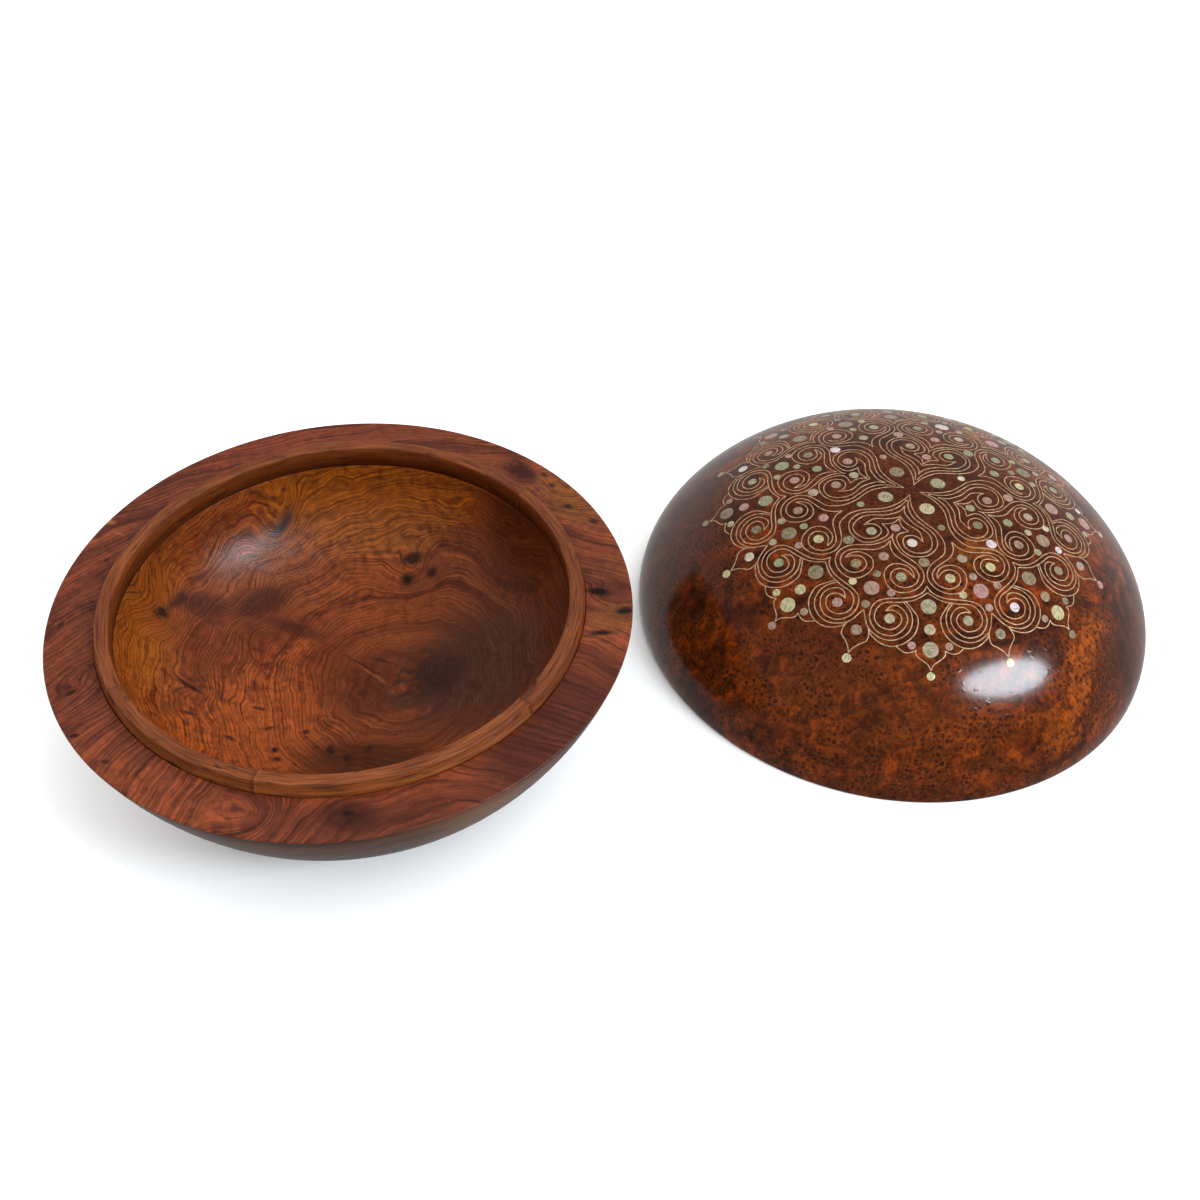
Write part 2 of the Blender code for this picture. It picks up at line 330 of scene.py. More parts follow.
def on_dome(plan):
    """Plan points about the lid's axis, lifted to the dome: the points and the outward normals."""
    radius = np.hypot(plan[..., 0], plan[..., 1])
    z, slope = dome_height(radius)
    outward = plan / np.maximum(radius, 1e-9)[..., None]
    normal = np.concatenate([-slope[..., None] * outward, np.ones(radius.shape + (1,))], -1)
    normal /= np.linalg.norm(normal, axis=-1, keepdims=True)
    points = np.concatenate([plan + LID_CENTRE, z[..., None]], -1)
    return points, normal


# ---------------------------------------------------------------------------------------------
# Materials


MATH, VECTOR_MATH = "ShaderNodeMath", "ShaderNodeVectorMath"
MIX, RANGE, RAMP = "ShaderNodeMix", "ShaderNodeMapRange", "ShaderNodeValToRGB"
NOISE, CELLS, MAPPING = "ShaderNodeTexNoise", "ShaderNodeTexVoronoi", "ShaderNodeMapping"

# How far the grain moves the outline of a patch of colour in and out, as a share of the patch's size.
EDGE_FRAY = 0.32

# Where in a year's growth the wood is darkest, and how dark the faintest year is beside the strongest.
LATE_WOOD = 0.88
FAINTEST_YEAR = 0.25

# Softness of the edges of patches of colour and of knots, as a share of their size.
PATCH_SOFTNESS = 0.60
KNOT_SOFTNESS = 0.85


def linear(hex_colour):
    """An sRGB hex colour as linear RGBA."""
    values = [int(hex_colour[i:i + 2], 16) / 255 for i in (1, 3, 5)]
    return (*[v / 12.92 if v <= 0.04045 else ((v + 0.055) / 1.055) ** 2.4 for v in values], 1.0)


def add_node(tree, kind, *sources, named=None, stops=(), **settings):
    """Adds a node with its settings. The sources go to the inputs in use, in their order, and the named
    ones to the inputs of those names: each is a value, or a node or an output to link."""
    node = tree.nodes.new(kind)
    for name, value in settings.items():
        setattr(node, name, value)
    pairs = list(zip([socket for socket in node.inputs if socket.enabled], sources))
    pairs += [(node.inputs[name], source) for name, source in (named or {}).items()]
    for socket, source in pairs:
        if isinstance(source, bpy.types.Node):
            source = next(output for output in source.outputs if output.enabled)
        if isinstance(source, bpy.types.NodeSocket):
            tree.links.new(source, socket)
        else:
            socket.default_value = source
    for count, (position, colour) in enumerate(stops):
        elements = node.color_ramp.elements
        element = elements[count] if count < 2 else elements.new(position)
        element.position, element.color = position, linear(colour)
    return node


def new_material(name, **inputs):
    """An empty material: (material, its node tree, its Principled shader, the object coordinates)."""
    material = bpy.data.materials.new(name)
    material.use_nodes = True
    tree = material.node_tree
    tree.nodes.clear()
    named = {key.replace("_", " ").title().replace("Ior", "IOR"): value for key, value in inputs.items()}
    shader = add_node(tree, "ShaderNodeBsdfPrincipled", named=named)
    add_node(tree, "ShaderNodeOutputMaterial", shader)
    return material, tree, shader, add_node(tree, "ShaderNodeTexCoord").outputs["Object"]


def warped(tree, place, scale, reach, detail=2.0):
    """The place, pushed about by cloud noise of that scale (per metre) by up to that many metres."""
    noise = add_node(tree, NOISE, place, scale, detail)
    centred = add_node(tree, VECTOR_MATH, noise.outputs["Color"], (0.5, 0.5, 0.5), operation="SUBTRACT")
    return add_node(tree, VECTOR_MATH, centred, (2 * reach,) * 3, place, operation="MULTIPLY_ADD")


def cloud(tree, place, scale, low, high, detail=4.0, distortion=0.0):
    """Cloudy noise of that scale (per metre), spread from 0 at the low value to 1 at the high one."""
    noise = add_node(tree, NOISE, place, scale, detail, named={"Distortion": distortion})
    return add_node(tree, RANGE, noise, low, high)


def spot(tree, place, x, y, along, across, turn, share, softness, edge=0.5):
    """An oval seen in plan, in millimetres, with its long side turned by so many degrees: the share at its
    middle, and 0 from its outline on. The edge, noise from 0 to 1, moves the outline in and out."""
    own = add_node(tree, MAPPING, place, (x * MM, y * MM, 0.0), (0.0, 0.0, math.radians(turn)),
                   (along * MM, across * MM, 1.0), vector_type="TEXTURE")
    far = add_node(tree, VECTOR_MATH, own, operation="LENGTH")
    frayed = add_node(tree, MATH, edge, 2 * EDGE_FRAY, far, operation="MULTIPLY_ADD")
    return add_node(tree, RANGE, frayed, 1 + EDGE_FRAY - softness, 1 + EDGE_FRAY, share, 0.0,
                    interpolation_type="SMOOTHSTEP")


def spotted(tree, place, colour, spots, softness, edge=0.5):
    """The colour with spots laid over it: each is x, y, half length, half width, turn, share and colour."""
    plan = add_node(tree, VECTOR_MATH, place, (1.0, 1.0, 0.0), operation="MULTIPLY")
    for *oval, shade in spots:
        amount = spot(tree, plan, *oval, softness, edge)
        colour = add_node(tree, MIX, amount, colour, linear(shade), data_type="RGBA")
    return colour


def pushed_by_knots(tree, place, distance, knots):
    """The distance from the pith, grown round each knot (x, y, half length, half width, turn, metres), so
    that the growth lines flow round it."""
    plan = add_node(tree, VECTOR_MATH, place, (1.0, 1.0, 0.0), operation="MULTIPLY")
    for knot in knots:
        distance = add_node(tree, MATH, distance, spot(tree, plan, *knot, 1.0), operation="ADD")
    return distance


def growth_lines(tree, distance, spacing, width=0.5):
    """Late wood: each year's growth darkens towards its outer edge and stops there at once, and every year
    is dark to its own degree. From 0 in pale wood to 1 on the darkest line."""
    years = add_node(tree, MATH, distance, spacing, operation="DIVIDE")
    share = add_node(tree, MATH, years, operation="FRACT")
    rise = add_node(tree, RANGE, share, 1 - width, LATE_WOOD, interpolation_type="SMOOTHSTEP")
    fall = add_node(tree, RANGE, share, LATE_WOOD, 1.0, 1.0, 0.0)
    own = add_node(tree, "ShaderNodeTexWhiteNoise", add_node(tree, MATH, years, operation="FLOOR"),
                   noise_dimensions="1D")
    strength = add_node(tree, RANGE, own, 0.0, 1.0, FAINTEST_YEAR, 1.0)
    line = add_node(tree, MATH, rise, fall, operation="MULTIPLY")
    return add_node(tree, MATH, line, strength, operation="MULTIPLY")


def fibre(tree, place, distance, across, along, low=0.40, high=0.62, detail=3.0):
    """Streaks that follow the growth lines: noise read at the distance over the streak's width, added to
    the place over its length, both in metres."""
    widths = add_node(tree, MATH, distance, across, operation="DIVIDE")
    width = add_node(tree, "ShaderNodeCombineXYZ", widths)
    length = add_node(tree, VECTOR_MATH, place, named={"Scale": 1 / along}, operation="SCALE")
    own = add_node(tree, VECTOR_MATH, width, length, operation="ADD")
    return cloud(tree, own, 1.0, low, high, detail)


def toned(tree, colour, amount, shade, share):
    """The colour, taken so far towards the shade as the amount says, times the share."""
    factor = add_node(tree, MATH, amount, share, operation="MULTIPLY")
    return add_node(tree, MIX, factor, colour, linear(shade), data_type="RGBA")


def finish(tree, shader, colour, relief, depth):
    """Links the colour and a fine relief, in metres, to the shader."""
    bump = add_node(tree, "ShaderNodeBump", named={"Strength": 1.0, "Distance": depth, "Height": 0.0})
    tree.links.new(relief.outputs[0], bump.inputs["Height"])
    tree.links.new(bump.outputs["Normal"], shader.inputs["Normal"])
    tree.links.new(next(output for output in colour.outputs if output.enabled), shader.inputs["Base Color"])


def bowl_inside_material(colours):
    """Thuya burl, turned, scraped and waxed. It gives fine dark growth lines that wrap round knots, gold
    wood towards the rim, red-brown in the middle and a grey-brown heart, under a satin sheen. The heart is
    partly painted shade, darkened also for the shadow of the right wall, and the dark patch under the lip
    at the back right is painted shadow."""
    material, tree, shader, place = new_material(
        "waxed_burl_inside", roughness=0.30, specular_ior_level=0.34)
    wander = warped(tree, place, 13.0, 0.006)
    jitter = warped(tree, wander, 230.0, 0.0009, 4.0)
    flow = warped(tree, jitter, 26.0, 0.011)
    distance = add_node(tree, VECTOR_MATH, flow, (0.028, 0.005, -0.020), operation="DISTANCE")
    distance = pushed_by_knots(tree, wander, distance, (
        (20, 71, 26, 18, 20, 0.012), (22, 83, 20, 14, 0, 0.008), (-57, 50, 24, 18, 30, 0.008),
        (-52, 86, 26, 12, 55, 0.010), (-102, 21, 22, 14, 80, 0.010), (75, 66, 26, 26, 0, 0.008),
        (-83, -13, 16, 10, 0, 0.005), (10, -48, 20, 14, 0, 0.006), (36, 14, 18, 18, 0, 0.009)))
    pith = spot(tree, jitter, 38, 4, 78, 60, -10, 0.92, 0.8)
    lines = add_node(tree, MATH, growth_lines(tree, distance, 0.0022, 0.45),
                     add_node(tree, MATH, 1.0, pith, operation="SUBTRACT"), operation="MULTIPLY")
    streaks = fibre(tree, place, distance, 0.0007, 0.018)
    bands = fibre(tree, place, distance, 0.0040, 0.060, 0.36, 0.66)
    mottle = cloud(tree, warped(tree, place, 150.0, 0.003, 3.0), 230.0, 0.42, 0.66, 6.0)
    edge = add_node(tree, MATH, streaks, 0.4, add_node(tree, MATH, mottle, 0.6, operation="MULTIPLY"),
                    operation="MULTIPLY_ADD")
    colour = add_node(tree, MIX, bands, linear(colours.heart_wood), linear("#93481B"), data_type="RGBA")
    colour = spotted(tree, wander, colour, (
        (-12, 99, 85, 17, 0, 0.85, colours.gold_wood), (-104, 0, 56, 17, 84, 0.55, "#A45811"),
        (-84, -56, 34, 16, -45, 0.50, "#934511"), (-60, 26, 54, 28, 12, 0.60, "#6E2A0F"),
        (-45, -28, 54, 40, 60, 0.50, "#B45215"), (0, 73, 28, 14, 15, 0.70, "#95450C"),
        (14, 54, 46, 9, 5, 0.45, "#93410F"), (28, 38, 18, 5, 8, 0.60, "#A44A12"),
        (-34, 30, 16, 6, 60, 0.60, "#9F4713"), (-57, 50, 18, 9, 30, 0.80, "#421C10"),
        (-85, 38, 14, 7, 25, 0.75, "#461D11"), (-38, 38, 17, 5, -8, 0.70, "#461D10"),
        # the grey-brown heart at (68, 8) is partly painted shade, darkened also for the shadow of the
        # bowl's right wall
        (2, 4, 34, 26, -30, 0.70, "#612810"), (68, 8, 66, 52, 0, 0.85, colours.dark_heart_and_shade),
        # (84, 66) #2A120A is painted shadow: the dark band under the lip at the back right
        (35, 10, 24, 19, 20, 0.55, "#241713"), (84, 66, 34, 20, -48, 0.65, "#2A120A"),
        (16, -50, 44, 17, -8, 0.85, "#4C220A"), (20, 3, 6, 4, 20, 0.60, "#8E451C"),
        (20, -18, 18, 6, 10, 0.60, "#8B4014"), (58, -20, 14, 7, 0, 0.45, "#6E3318")),
        PATCH_SOFTNESS, edge)
    colour = toned(tree, colour, mottle, "#260E06", 0.42)
    colour = toned(tree, colour, streaks, "#2A1005", 0.50)
    colour = toned(tree, colour, lines, "#220C04", 0.75)
    colour = spotted(tree, jitter, colour, (
        (20, 71, 6.2, 5.0, 20, 0.95, "#170B08"), (22, 83, 8.5, 4.2, 0, 0.90, "#1C0D09"),
        (34, 74, 4.2, 4.2, 0, 0.85, "#1E0E0A"), (-101, 21, 6.0, 3.0, 65, 0.90, "#160C0A"),
        (-96, 33, 13, 2.2, 62, 0.75, "#2C1614"), (-51, 88, 13, 2.6, 47, 0.85, "#242024"),
        (-83, -13, 8.0, 1.9, -20, 0.90, "#1C0D0A"), (-80, -30, 6.0, 1.6, 10, 0.80, "#2A120C"),
        (-50, -16, 4.5, 1.4, 0, 0.85, "#2A120C"), (-42, -29, 4.5, 1.6, 30, 0.90, "#200E0A"),
        (-58, -41, 4.5, 1.6, -20, 0.85, "#2A120C"), (-35, -43, 2.6, 2.6, 0, 0.95, "#1C0D0A"),
        (-33, -49, 3.2, 2.2, 0, 0.95, "#1C0D0A"), (-22, -29, 2.4, 2.2, 0, 0.85, "#2A120C"),
        (-8, -41, 3.2, 4.5, 0, 0.85, "#200E0A"), (2, -46, 3.0, 3.6, 0, 0.80, "#200E0A"),
        (12, -40, 2.6, 3.4, 0, 0.70, "#26110B"), (-2, 20, 17, 1.1, -32, 0.75, "#2E140B"),
        (4, 14, 16, 0.9, -38, 0.25, "#B55A1D"), (10, 22, 13, 1.0, -20, 0.70, "#2E140B")),
        KNOT_SOFTNESS, edge)
    finish(tree, shader, colour, streaks, 0.00005)
    return material


def flange_material(colours):
    """The same burl on the flat flange, oiled and rubbed: deep red-brown with streaks that run across,
    gold burl at the back right and dark knots at the right."""
    material, tree, shader, place = new_material(
        "oiled_burl_flange", roughness=0.42, specular_ior_level=0.30)
    wander = warped(tree, place, 19.0, 0.008)
    jitter = warped(tree, wander, 220.0, 0.0009, 4.0)
    distance = add_node(tree, VECTOR_MATH, jitter, (0.060, -0.170, 0.0), operation="DISTANCE")
    distance = pushed_by_knots(tree, wander, distance, (
        (126, 2, 28, 18, 0, 0.012), (103, 82, 24, 20, 0, 0.012), (-21, -130, 24, 22, 0, 0.014),
        (-118, -66, 30, 14, 40, 0.008), (76, 100, 18, 14, 0, 0.008)))
    lines = growth_lines(tree, distance, 0.0028, 0.5)
    streaks = fibre(tree, place, distance, 0.0008, 0.022)
    bands = fibre(tree, place, distance, 0.0045, 0.050, 0.36, 0.64)
    mottle = cloud(tree, warped(tree, place, 150.0, 0.003, 3.0), 230.0, 0.42, 0.66, 6.0)
    edge = add_node(tree, MATH, streaks, 0.5, add_node(tree, MATH, mottle, 0.5, operation="MULTIPLY"),
                    operation="MULTIPLY_ADD")
    colour = add_node(tree, MIX, bands, linear(colours.flange_wood), linear("#8F411E"), data_type="RGBA")
    colour = spotted(tree, wander, colour, (
        (-112, 76, 34, 18, 50, 0.25, "#451C15"), (-60, 116, 40, 14, 25, 0.80, "#81371C"),
        (105, 78, 26, 15, -50, 0.90, "#7E4414"), (76, 101, 15, 9, -40, 0.95, "#34110B"),
        (60, 112, 16, 9, -30, 0.60, "#793A16"), (127, -9, 16, 11, 60, 0.85, "#834616"),
        (108, -80, 60, 26, 52, 0.85, "#4E2014"), (30, -128, 50, 11, 5, 0.55, "#5D2615"),
        (-62, -118, 44, 14, -28, 0.95, "#893E19"), (-122, -30, 40, 14, 95, 0.85, "#753518"),
        (22, -126, 14, 10, 0, 0.70, "#30120B"), (127, 26, 15, 9, 80, 0.65, "#753915"),
        (128, 10, 10, 9, 0, 0.60, "#451C10"), (-8, 130, 60, 8, 0, 0.35, "#672C1B")),
        PATCH_SOFTNESS, edge)
    colour = toned(tree, colour, mottle, "#260D07", 0.36)
    colour = toned(tree, colour, streaks, "#2C1008", 0.55)
    colour = toned(tree, colour, lines, "#260C07", 0.62)
    colour = spotted(tree, jitter, colour, (
        (122, 9.5, 8.0, 3.2, -8, 0.97, "#120908"), (134, -3, 7.0, 4.0, 10, 0.95, "#120908"),
        (122, -19, 8.0, 2.6, 0, 0.95, "#160A08"), (23, -124.5, 3.6, 2.2, 20, 0.80, "#160A08"),
        (104, 73, 4.0, 2.4, 0, 0.90, "#1E0E0A"), (118, 64, 3.2, 2.4, 0, 0.85, "#1E0E0A"),
        (96, 88, 3.0, 2.2, 0, 0.85, "#1E0E0A"), (110, 86, 3.4, 2.0, -40, 0.80, "#26110B"),
        (92, 97, 3.4, 2.0, -40, 0.85, "#1E0E0A"), (-131, -18, 3.4, 1.6, 70, 0.90, "#1E0E0A"),
        (-114, -62, 4.4, 1.8, 40, 0.90, "#1E0E0A"), (-104, -86, 3.0, 1.8, 20, 0.90, "#1E0E0A"),
        (-86, -100, 3.4, 1.8, 0, 0.85, "#1E0E0A"), (-122, 24, 3.0, 1.4, 40, 0.80, "#26110B"),
        (-127, 51, 5.4, 2.6, -15, 0.85, "#9A5C2A"), (-119, 42, 5.0, 0.9, -20, 0.70, "#8C5129")),
        KNOT_SOFTNESS, edge)
    finish(tree, shader, colour, streaks, 0.00005)
    return material


def bowl_outside_material(colours):
    """The bowl's turned outside, polished: dark grey-brown burl with soft bands under a high gloss."""
    material, tree, shader, place = new_material(
        "polished_burl_outside", roughness=0.32, specular_ior_level=0.08)
    wander = warped(tree, place, 20.0, 0.010, 3.0)
    distance = add_node(tree, VECTOR_MATH, wander, (0.030, 0.004, -0.020), operation="DISTANCE")
    lines = growth_lines(tree, distance, 0.0028)
    streaks = fibre(tree, place, distance, 0.0012, 0.030)
    bands = fibre(tree, place, distance, 0.0080, 0.060)
    colour = add_node(tree, MIX, bands, linear(colours.outside_wood), linear("#52311F"), data_type="RGBA")
    colour = spotted(tree, wander, colour, (
        (78, -108, 44, 22, 35, 0.70, "#6E492D"), (-90, -80, 40, 24, -40, 0.40, "#4E281A"),
        (-100, 70, 50, 30, 40, 0.50, "#5C311A"), (60, 110, 60, 30, -30, 0.50, "#653A1A")), 0.8)
    colour = toned(tree, colour, streaks, "#241009", 0.40)
    colour = toned(tree, colour, lines, "#1E0C07", 0.45)
    finish(tree, shader, colour, lines, 0.00003)
    return material


def lip_material(colours):
    """Straight-grained wood of the lip ring, cut in arcs and rubbed smooth: the grain runs with the ring,
    each segment keeps its own shade, and small dark knots cross it."""
    material, tree, shader, _ = new_material("rubbed_lip_wood", roughness=0.46, specular_ior_level=0.30)
    along = add_node(tree, "ShaderNodeUVMap", uv_map="UVMap")
    wavy = warped(tree, along, 60.0, 0.0012, 3.0)
    grain_place = add_node(tree, MAPPING, wavy, named={"Scale": (55.0, 1300.0, 1.0)})
    grain = cloud(tree, grain_place, 1.0, 0.40, 0.62)
    slow_place = add_node(tree, MAPPING, wavy, named={"Scale": (30.0, 160.0, 1.0)})
    slow = cloud(tree, slow_place, 1.0, 0.38, 0.62)
    colour = add_node(tree, MIX, slow, linear(colours.lip_wood), linear("#6F3310"), data_type="RGBA")
    tint = add_node(tree, "ShaderNodeAttribute", attribute_name="segment_shade").outputs["Fac"]
    colour = add_node(tree, MIX, tint, colour, linear("#622D10"), data_type="RGBA")
    colour = toned(tree, colour, grain, "#2E1208", 0.62)
    blotch_place = add_node(tree, MAPPING, wavy, named={"Scale": (60.0, 190.0, 1.0)})
    colour = toned(tree, colour, cloud(tree, blotch_place, 1.0, 0.61, 0.72, 3.0), "#1E0D08", 0.85)
    finish(tree, shader, colour, grain, 0.00004)
    return material


def lid_material(colours):
    """Thuya burl of the lid, sanded fine and polished to a gloss: dark orange-brown, packed with tiny dark
    eyes in clusters, with orange flame figure and darker brown wood at the crown."""
    material, tree, shader, whole = new_material(
        "polished_burl_lid", roughness=0.14, specular_ior_level=0.45)
    place = add_node(tree, MAPPING, whole, (-LID_CENTRE[0], -LID_CENTRE[1], 0.0))
    wander = warped(tree, place, 24.0, 0.010, 3.0)
    swirl = warped(tree, place, 60.0, 0.0060, 4.0)
    figure = cloud(tree, wander, 60.0, 0.41, 0.63, 6.0, 1.2)
    mottle = cloud(tree, warped(tree, place, 140.0, 0.004, 3.0), 260.0, 0.43, 0.59, 5.0, 0.6)
    edge = add_node(tree, MATH, figure, 0.5, add_node(tree, MATH, mottle, 0.5, operation="MULTIPLY"),
                    operation="MULTIPLY_ADD")
    colour = add_node(tree, MIX, figure, linear("#250902"), linear(colours.lid_wood), data_type="RGBA")
    colour = spotted(tree, wander, colour, (
        (0, 12, 105, 80, 0, 0.80, colours.lid_dark), (-112, 10, 74, 34, 86, 0.80, "#33160C"),
        (0, 120, 110, 40, 0, 0.70, "#2F160C"), (-28, -112, 70, 24, -12, 0.45, "#69320C"),
        (28, -42, 17, 11, 25, 0.85, "#793D0F"), (-70, -86, 38, 20, -38, 0.35, "#622908"),
        (80, -86, 29, 8, 68, 0.95, colours.lid_flame), (91, -66, 15, 7, 35, 0.75, colours.lid_flame),
        (66, -113, 16, 7, 30, 0.60, colours.lid_flame), (57, -86, 21, 12, 55, 0.95, "#241012"),
        (112, -60, 56, 14, 61, 0.80, "#2C1410"), (62, -24, 24, 14, 40, 0.75, "#221309"),
        (44, -56, 20, 6, 10, 0.60, "#2C1008"), (-30, -20, 30, 16, 20, 0.40, "#4A1F0A")),
        PATCH_SOFTNESS, edge)
    pith = add_node(tree, VECTOR_MATH, swirl, (0.030, -0.190, 0.0), operation="DISTANCE")
    lines = fibre(tree, place, pith, 0.0012, 0.016)
    colour = toned(tree, colour, lines, "#30120A", 0.35)
    colour = toned(tree, colour, mottle, "#1E0B05", 0.60)
    # two sizes of eye, drawn only where the clusters lie; each is dark with a paler rim
    drift = warped(tree, place, 300.0, 0.0016, 3.0)
    clusters = cloud(tree, wander, 48.0, 0.38, 0.54, 4.0)
    for scale, pupil in ((340.0, 0.38), (220.0, 0.28)):
        cells = add_node(tree, CELLS, drift, scale, named={"Randomness": 1.0})
        ring = add_node(tree, RANGE, cells, pupil, pupil * 2.2, 1.0, 0.0, interpolation_type="SMOOTHSTEP")
        dark = add_node(tree, RANGE, cells, pupil * 0.55, pupil * 1.2, 1.0, 0.0,
                        interpolation_type="SMOOTHSTEP")
        rim = add_node(tree, MATH, ring, clusters, operation="MULTIPLY")
        eyes = add_node(tree, MATH, dark, clusters, operation="MULTIPLY")
        colour = toned(tree, colour, rim, "#6B320E", 0.30)
        colour = toned(tree, colour, eyes, "#260C05", 0.85)
    # curly marks run where a slow cloud crosses its middle value
    swell = add_node(tree, NOISE, drift, 170.0, 3.0, named={"Distortion": 1.2})
    centred = add_node(tree, MATH, swell, 0.5, operation="SUBTRACT")
    away = add_node(tree, MATH, centred, operation="ABSOLUTE")
    curls = add_node(tree, RANGE, away, 0.004, 0.030, 1.0, 0.0)
    marks = add_node(tree, MATH, curls, clusters, operation="MULTIPLY")
    colour = toned(tree, colour, marks, "#1C0904", 0.65)
    finish(tree, shader, colour, eyes, 0.00003)
    return material


def shell_material(colours):
    """Mother-of-pearl and abalone, sawn, ground flush and polished: cream, pink and green layers that
    shift from disc to disc, with dark striations across them."""
    material, tree, shader, _ = new_material(
        "polished_shell", roughness=0.24, coat_weight=0.5, coat_roughness=0.08, ior=1.55)
    own = add_node(tree, "ShaderNodeUVMap", uv_map="UVMap")
    wavy = warped(tree, own, 260.0, 0.0008)
    layers = cloud(tree, wavy, 520.0, 0.30, 0.70, 3.0)
    colour = add_node(tree, RAMP, layers, stops=(
        (0.0, "#3E3828"), (1.0, "#D2CCBA"), (0.30, "#7C6E56"), (0.52, colours.shell),
        (0.70, "#A88474"), (0.85, "#8CA078")))
    tint = add_node(tree, "ShaderNodeAttribute", attribute_name="shell_shade").outputs["Fac"]
    cast = add_node(tree, RAMP, tint, stops=(
        (0.0, "#4A4430"), (1.0, "#CDBCCB"), (0.18, "#6E5A3C"), (0.38, "#99646A"), (0.56, "#66794E"),
        (0.74, "#92806A"), (0.88, "#AEAC78")))
    colour = add_node(tree, MIX, 0.68, colour, cast, data_type="RGBA")
    striae_place = add_node(tree, MAPPING, wavy, named={"Scale": (260.0, 1500.0, 1.0)})
    striae = cloud(tree, striae_place, 1.0, 0.50, 0.64, 3.0)
    colour = toned(tree, colour, striae, "#4E4230", 0.65)
    finish(tree, shader, colour, striae, 0.00002)
    return material


def wire_material(colours):
    """Pale metal wire, hammered into its groove and filed flush. It is made only part metal, so its pale
    colour is lit like paint and stands as a painted reflection of a bright room, which the dim room here
    doesn't give; file marks make it read as a pale line with dull and bright stretches."""
    # metallic below 1: the pale base colour is a painted reflection
    material, tree, shader, place = new_material("filed_wire", roughness=0.42, metallic=0.35)
    marks = cloud(tree, place, 420.0, 0.35, 0.65, 3.0)
    colour = add_node(tree, MIX, marks, linear(colours.wire), linear("#94704F"), data_type="RGBA")
    finish(tree, shader, colour, marks, 0.00001)
    return material


def material_named(name, maker):
    """The finished material, made the first time that it is asked for."""
    return bpy.data.materials.get(name) or maker(bpy.context.scene.bowl_colours)


# ---------------------------------------------------------------------------------------------
# Inlay pattern, in millimetres about the lid's axis


# Wires of one lyre, right half: x across, y outwards along the lyre's own axis.
OUTER_SCROLL = [
    (0.0, 35.6), (0.3, 38.1), (3.0, 42.3), (7.4, 46.1), (13.3, 48.3), (18.2, 50.5), (21.4, 53.9),
    (22.4, 57.8), (21.2, 62.5), (17.4, 66.6), (12.3, 68.5), (7.4, 67.2), (4.1, 63.2), (3.1, 59.0),
    (4.8, 54.9), (8.6, 52.9), (13.1, 52.9), (16.4, 55.2), (17.8, 58.0)]
INNER_SCROLL = [
    (0.0, 40.6), (1.5, 44.9), (5.2, 48.7), (11.1, 50.7), (16.0, 52.3), (19.0, 54.9), (19.9, 58.3),
    (18.7, 62.0), (15.3, 64.8), (11.2, 65.2), (7.7, 63.2), (6.4, 60.1), (7.3, 57.2), (10.2, 55.2),
    (14.0, 55.6), (17.8, 58.0)]
OUTER_STEM = [
    (0.0, 4.2), (1.1, 7.7), (3.9, 13.6), (8.7, 19.2), (15.0, 22.7), (18.9, 24.5), (23.1, 27.9),
    (25.6, 31.2), (27.2, 36.4), (26.7, 39.6)]
INNER_STEM = [
    (0.4, 8.7), (1.7, 13.7), (4.4, 18.4), (7.7, 21.4), (13.3, 24.2), (17.5, 26.2), (20.3, 28.7),
    (22.2, 32.0), (22.8, 36.1), (21.1, 40.9), (17.6, 44.3), (12.6, 46.1), (7.7, 44.4), (3.8, 40.2),
    (2.4, 37.1), (3.0, 34.4), (5.5, 32.1), (7.0, 31.1)]
HEART = [
    (0.0, 14.0), (1.1, 18.4), (3.9, 21.6), (8.1, 24.8), (13.3, 26.6), (17.2, 29.1), (19.3, 32.1),
    (20.4, 36.1), (19.6, 39.6), (16.6, 42.3), (12.3, 43.4), (8.5, 42.1), (6.2, 39.0), (5.9, 36.0),
    (7.4, 33.9), (10.1, 32.8), (13.0, 33.3), (15.4, 35.0)]
LEAF_OUTSIDE = [
    (15.4, 35.0), (14.0, 32.0), (11.9, 29.1), (9.2, 27.8), (5.5, 26.6), (2.2, 24.5), (0.0, 22.4)]
LEAF_INSIDE = [(0.0, 23.8), (1.5, 27.4), (3.6, 29.5), (7.0, 31.1)]

# Wires of one outer band, right half: x across, y outwards along a big axis.
BAND_OUTER = [
    (0.0, 64.8), (1.8, 67.8), (5.1, 69.9), (9.4, 71.1), (14.4, 71.3), (19.5, 71.3), (24.0, 72.1),
    (26.8, 74.1), (28.3, 77.1), (28.8, 80.4), (27.6, 83.9), (24.5, 87.4), (18.4, 89.1), (13.4, 86.9),
    (10.7, 82.9), (11.1, 79.1), (14.2, 75.6), (17.7, 75.0), (21.0, 77.4)]
BAND_INNER = [
    (0.0, 68.4), (4.1, 71.1), (7.9, 72.7), (14.4, 73.4), (20.7, 73.3), (24.5, 75.3), (26.4, 79.1),
    (25.8, 82.4), (23.0, 85.2), (18.4, 86.3), (14.7, 84.4), (13.4, 81.4), (14.9, 78.6), (18.2, 77.2),
    (21.0, 77.4)]
CRESCENT_INNER = [
    (11.9, 73.6), (9.4, 77.1), (8.2, 81.6), (9.4, 86.4), (12.9, 89.7), (18.4, 91.1), (23.5, 90.0),
    (27.5, 87.2), (29.4, 85.2)]
CRESCENT_OUTER = [
    (10.7, 73.2), (7.9, 77.1), (5.5, 81.6), (6.6, 87.2), (9.9, 91.0), (14.4, 93.2), (19.5, 93.6),
    (24.5, 91.7), (28.3, 88.2), (29.4, 86.2)]
OGEE_SHOULDER = [(16.6, 93.6), (14.4, 95.5), (12.4, 96.5), (10.4, 96.6), (8.6, 96.2), (7.0, 95.5)]
